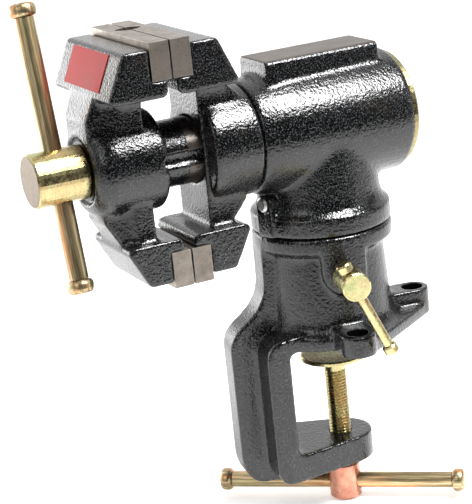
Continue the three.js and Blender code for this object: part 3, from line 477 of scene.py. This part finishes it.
def finished(piece, name, material):
    """Puts a new piece in the place of a CAD node, on the same body."""
    piece.data.materials.clear()
    piece.data.materials.append(material)
    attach(piece, nodes[name]["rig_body"])
    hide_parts(name)


def softened(name, material, width=0.3 * MM):
    """The CAD node itself, with its sharp edges broken and a new material."""
    shown = nodes[name]
    shown.data.materials.clear()
    shown.data.materials.append(material)
    bevel = shown.modifiers.new("broken_edges", "BEVEL")
    bevel.width = width
    bevel.segments = 2
    bevel.limit_method = "ANGLE"
    bevel.angle_limit = math.radians(38)
    bevel.use_clamp_overlap = True
    bevel.harden_normals = True


def capped_rings(rows, around):
    """Faces of a closed body whose rings of points lie between a first and a last point."""
    faces = []
    last = 1 + (rows - 1) * around
    for k in range(around):
        after = (k + 1) % around
        faces.append((0, 1 + after, 1 + k))
        for row in range(rows - 1):
            a = 1 + row * around
            faces.append((a + k, a + after, a + around + after, a + around + k))
        faces.append((last + k, last + after, last + around))
    return faces


def turned_piece(name, outline, start, turn, material, around=64):
    """A turned piece. `outline` is [radius, height] pairs along its own Z, from `start`."""
    angles = np.linspace(0, 2 * math.pi, around, endpoint=False)
    rows = [[(r * math.cos(a), r * math.sin(a), h) for a in angles] for r, h in outline]
    vertices = [(0, 0, outline[0][1])] + [p for row in rows for p in row] + [(0, 0, outline[-1][1])]
    mesh = bpy.data.meshes.new(name + "_turned")
    mesh.from_pydata(vertices, [], capped_rings(len(rows), around))
    mesh.transform(Matrix.Translation(start) @ turn.to_4x4())
    mesh.shade_smooth()
    mesh.set_sharp_from_angle(angle=math.radians(40))
    piece = bpy.data.objects.new(name + "_turned", mesh)
    scene.collection.objects.link(piece)
    finished(piece, name, material)


def threaded_rod(name, outline, thread, pitch, depth, material):
    """
    A turned rod about Z with a real helical thread. `outline` is [height, radius] pairs from the
    bottom up, and `thread` is the lowest and highest threaded height.
    """
    around = 48
    bottom, top = outline[0][0], outline[-1][0]
    rows = int((top - bottom) / pitch * 12)
    heights = np.unique(np.concatenate([np.linspace(bottom, top, rows), [h for h, r in outline]]))
    rows = len(heights)
    angles = np.arange(around) / around
    h, turn = np.meshgrid(heights, angles, indexing="ij")
    groove = np.clip(1.25 * (1 - np.abs((h / pitch - turn) % 1 - 0.5) / 0.40), 0, 1)
    run_out = np.clip(np.minimum(h - thread[0], thread[1] - h) / pitch, 0, 1)
    radius = np.interp(h, [p[0] for p in outline], [p[1] for p in outline]) - depth * groove * run_out
    ring = np.stack([radius * np.cos(2 * math.pi * turn), radius * np.sin(2 * math.pi * turn), h], axis=-1)
    vertices = [(0, 0, bottom), *map(tuple, ring.reshape(-1, 3)), (0, 0, top)]
    mesh = bpy.data.meshes.new(name + "_threaded")
    mesh.from_pydata(vertices, [], capped_rings(rows, around))
    mesh.shade_smooth()
    mesh.set_sharp_from_angle(angle=math.radians(50))
    piece = bpy.data.objects.new(name + "_threaded", mesh)
    scene.collection.objects.link(piece)
    finished(piece, name, material)


# ---- Castings -------------------------------------------------------------------------------

# For each casting: its bare metal, how many steps of filling, and the neighbours to keep clear of.
CASTINGS = {
    "base_casting": (None, 20, ["lock_screw", "clamp_screw"]),
    "swivel_casting": (anvil_face, 16, ["flange_stop_pin", "rear_cap"]),
    "fixed_jaw_casting": (None, 16, PADS),
    "movable_jaw_casting": (ram_face, 20, PADS + ["thrust_washer", "retaining_collar"]),
}
for name, (bare, filling, neighbours) in CASTINGS.items():
    holes = LUG_HOLES if name == "base_casting" else ()
    wells = [(x, y, WELL_RADIUS) for x, y in holes]
    cast = cast_shape(name, VOXEL, 3, filling, neighbours, wells)
    finished(cast, name, paint(name + "_enamel", bare, holes))

# ---- Plated, ground and plain pieces ----------------------------------------------------------

jaw_zinc = zinc_bar("zinc_jaw_bar", JAW_BAR_TURN, (-146 * MM, 0, AXIS_HEIGHT), 1.0)
clamp_zinc = zinc_bar("zinc_clamp_bar", CLAMP_BAR_TURN, (0, 0, -91 * MM), 1.0)
lock_zinc = zinc_turned("zinc_lock", (300, 300, 300), 0.72)
head_zinc = zinc_turned("zinc_screw_head", (1900, 60, 60), 0.60, SCREW_FACE)
round_zinc = zinc_turned("zinc_turned", (60, 60, 1900), 0.55)
ground = ground_steel()
steel = plain_steel("plain_steel", 0.62)
dark_steel = plain_steel("dark_steel", 0.07)

for pad in PADS:
    softened(pad, ground, 0.35 * MM)
for screw in PAD_SCREWS + ["cap_screw_1", "cap_screw_2", "cap_screw_3", "collar_pin", "ram_key"]:
    softened(screw, steel, 0.15 * MM)
for part in ("lead_nut", "retaining_collar", "lock_shoe", "flange_stop_pin"):
    softened(part, steel, 0.2 * MM)
softened("thrust_washer", dark_steel, 0.2 * MM)
softened("jaw_label", label_film(), 0.05 * MM)
cap_zinc = zinc_turned("zinc_cap", (1900, 60, 60), 0.38)
for part, material in (("jaw_screw", head_zinc), ("rear_cap", cap_zinc), ("clamp_pad", round_zinc)):
    softened(part, material, 0.35 * MM)
softened("clamp_screw_head", copper(), 0.35 * MM)
softened("lock_screw", lock_zinc, 0.25 * MM)

threaded_rod(
    "clamp_screw", [(h * MM, r * MM) for h, r in CLAMP_SCREW], CLAMP_THREAD, CLAMP_PITCH,
    CLAMP_THREAD_DEPTH, round_zinc,
)

# For each bar, in mm: tilt, crossing point, slide, half length, knob radius, knob length, material.
BARS = {
    "jaw": (JAW_BAR_TURN, (-146, 0, 116.8), 14, 74, 6.9, 7.0, jaw_zinc),
    "clamp": (CLAMP_BAR_TURN, (0, 0, -91), -2.2, 70, 6.35, 6.5, clamp_zinc),
}
for prefix, (turn, centre, slide, half, radius, length, material) in BARS.items():
    softened(f"{prefix}_bar", material, 0.2 * MM)
    shape = [(r * radius * MM, h * length * MM) for r, h in KNOB]
    to_end = turn.to_matrix()
    for knob_name, sign in (("a", 1), ("b", -1)):
        offset = Vector((0, 0, slide + sign * (half - length))) * MM
        facing = Matrix.Identity(3) if sign > 0 else Matrix.Rotation(math.pi, 3, "X")
        start = Vector(centre) * MM + to_end @ offset
        turned_piece(
            f"{prefix}_bar_knob_{knob_name}", shape, start, to_end @ facing, material,
        )
for part in ("bar", "bar_knob_a", "bar_knob_b"):
    softened(f"lock_{part}", lock_zinc, 0.4 * MM)

# ---- Floor, light and camera ------------------------------------------------------------------


def floor():
    mesh = bpy.data.meshes.new("floor")
    side, front, rear = 1.5, -0.62, 1.8
    corners = [(-side, front), (side, front), (side, rear), (-side, rear)]
    mesh.from_pydata([(x, y, FLOOR_HEIGHT) for x, y in corners], [], [(0, 1, 2, 3)])
    shader = Shader("floor_paper")
    shade = shader.noise(3, 2.0, 0.5)
    shader.set(base_color=shader.ramp(shade, [(0.3, grey(0.90)), (0.7, grey(0.92))]), roughness=0.9)
    # Painted light: the floor glows, from none at y = -0.36 up to 0.45 at y = 0.08 and beyond, though it is
    # no lamp.
    painted_floor_light = shader.between(shader.split()[1], -0.36, 0.08, 0.0, 0.45)
    shader.set(emission_color=(1, 1, 1, 1), emission_strength=painted_floor_light)
    mesh.materials.append(shader.material)
    made = bpy.data.objects.new("floor", mesh)
    scene.collection.objects.link(made)


def studio():
    """A white studio: bright behind and above the object, and dimmer on the camera's side."""
    world = bpy.data.worlds.new("studio")
    world.use_nodes = True
    scene.world = world
    tree = world.node_tree
    background = tree.nodes["Background"]
    place = tree.nodes.new("ShaderNodeTexCoord")
    split = tree.nodes.new("ShaderNodeSeparateXYZ")
    tree.links.new(place.outputs["Generated"], split.inputs[0])
    ramp = tree.nodes.new("ShaderNodeMapRange")
    ramp.interpolation_type = "SMOOTHSTEP"
    tree.links.new(split.outputs["Y"], ramp.inputs["Value"])
    ramp.inputs["From Min"].default_value = -0.30
    ramp.inputs["From Max"].default_value = 0.50
    ramp.inputs["To Min"].default_value = 0.03
    ramp.inputs["To Max"].default_value = 1.25
    seen = tree.nodes.new("ShaderNodeLightPath").outputs["Is Camera Ray"]
    strength = tree.nodes.new("ShaderNodeMath")
    strength.operation = "MAXIMUM"
    tree.links.new(ramp.outputs[0], strength.inputs[0])
    tree.links.new(seen, strength.inputs[1])
    tree.links.new(strength.outputs[0], background.inputs["Strength"])
    background.inputs["Color"].default_value = (1, 1, 1, 1)


def soft_box(name, place, target, size, power):
    data = bpy.data.lights.new(name, "AREA")
    data.shape = "RECTANGLE"
    data.size, data.size_y = size
    data.energy = power
    lamp = bpy.data.objects.new(name, data)
    lamp.location = place
    aim = Vector(target) - Vector(place)
    lamp.rotation_euler = aim.to_track_quat("-Z", "Y").to_euler()
    lamp.visible_camera = False
    scene.collection.objects.link(lamp)


def camera():
    azimuth = math.radians(-24.66)
    elevation = math.radians(16.53)
    roll = math.radians(6.16)
    distance = 0.9598
    target = Vector((-0.05249, 0, 0.05598))
    back = Vector((
        math.sin(azimuth) * math.cos(elevation),
        -math.cos(azimuth) * math.cos(elevation),
        math.sin(elevation),
    ))
    right = Vector((math.cos(azimuth), math.sin(azimuth), 0))
    up = right.cross(-back)
    across = math.cos(roll) * right - math.sin(roll) * up
    upright = math.cos(roll) * up + math.sin(roll) * right
    data = bpy.data.cameras.new("camera")
    data.sensor_width = 36
    data.lens = 128.84
    made = bpy.data.objects.new("camera", data)
    turn = Matrix((across, upright, back)).transposed().to_4x4()
    made.matrix_world = Matrix.Translation(target + back * distance) @ turn
    scene.collection.objects.link(made)
    scene.camera = made


floor()
studio()
soft_box("overhead", (0.28, -0.46, 0.93), (-0.05, 0, 0.1), (0.34, 0.56), 24)
soft_box("rear_left", (-0.62, 1.0, 0.14), (-0.1, 0, 0.08), (0.9, 0.45), 5)
soft_box("left_key", (-1.0, -0.55, 0.75), (-0.05, 0, 0.05), (0.5, 0.7), 3)
soft_box("right_fill", (0.9, -0.7, 0.35), (0, 0, 0), (0.5, 0.8), 1.5)
camera()
scene.view_settings.view_transform = "Standard"
